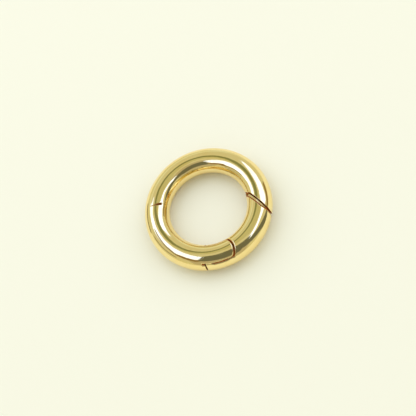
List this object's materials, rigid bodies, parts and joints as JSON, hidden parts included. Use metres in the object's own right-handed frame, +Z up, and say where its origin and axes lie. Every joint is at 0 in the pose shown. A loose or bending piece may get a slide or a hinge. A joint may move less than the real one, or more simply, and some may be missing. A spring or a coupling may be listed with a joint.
{
  "type": "round spring gate clasp",
  "caption": "Round ring clasp of polished gold-plated rod with a sprung gate that pivots inward to take a chain's end ring or a pendant's bail.",
  "frame": {"origin": "centre of the ring, in the plane it lies on", "axes": "+Z up, square to the ring's plane; the hinge is near -Y and the slanted seam of the catch is towards +X"},
  "size_m": [0.018, 0.018, 0.0035],
  "materials": {
    "gold_plate": "polished gold plate over brass",
    "pin_wire": "polished wire"
  },
  "bodies": {
    "hoop": {"hoop_upper": "gold_plate", "hoop_lower": "gold_plate", "seam_peg": "pin_wire", "hinge_pin": "pin_wire"},
    "gate": {"gate": "gold_plate"}
  },
  "joints": [
    {"name": "gate_hinge", "type": "hinge", "parent": "hoop", "child": "gate", "pos_m": [-0.00163, -0.00706, 0.00175], "axis": [0, 0, 1], "range_deg": [0, 50], "stiffness_Nm_per_rad": 0.005, "springref_deg": -28.65}
  ]
}
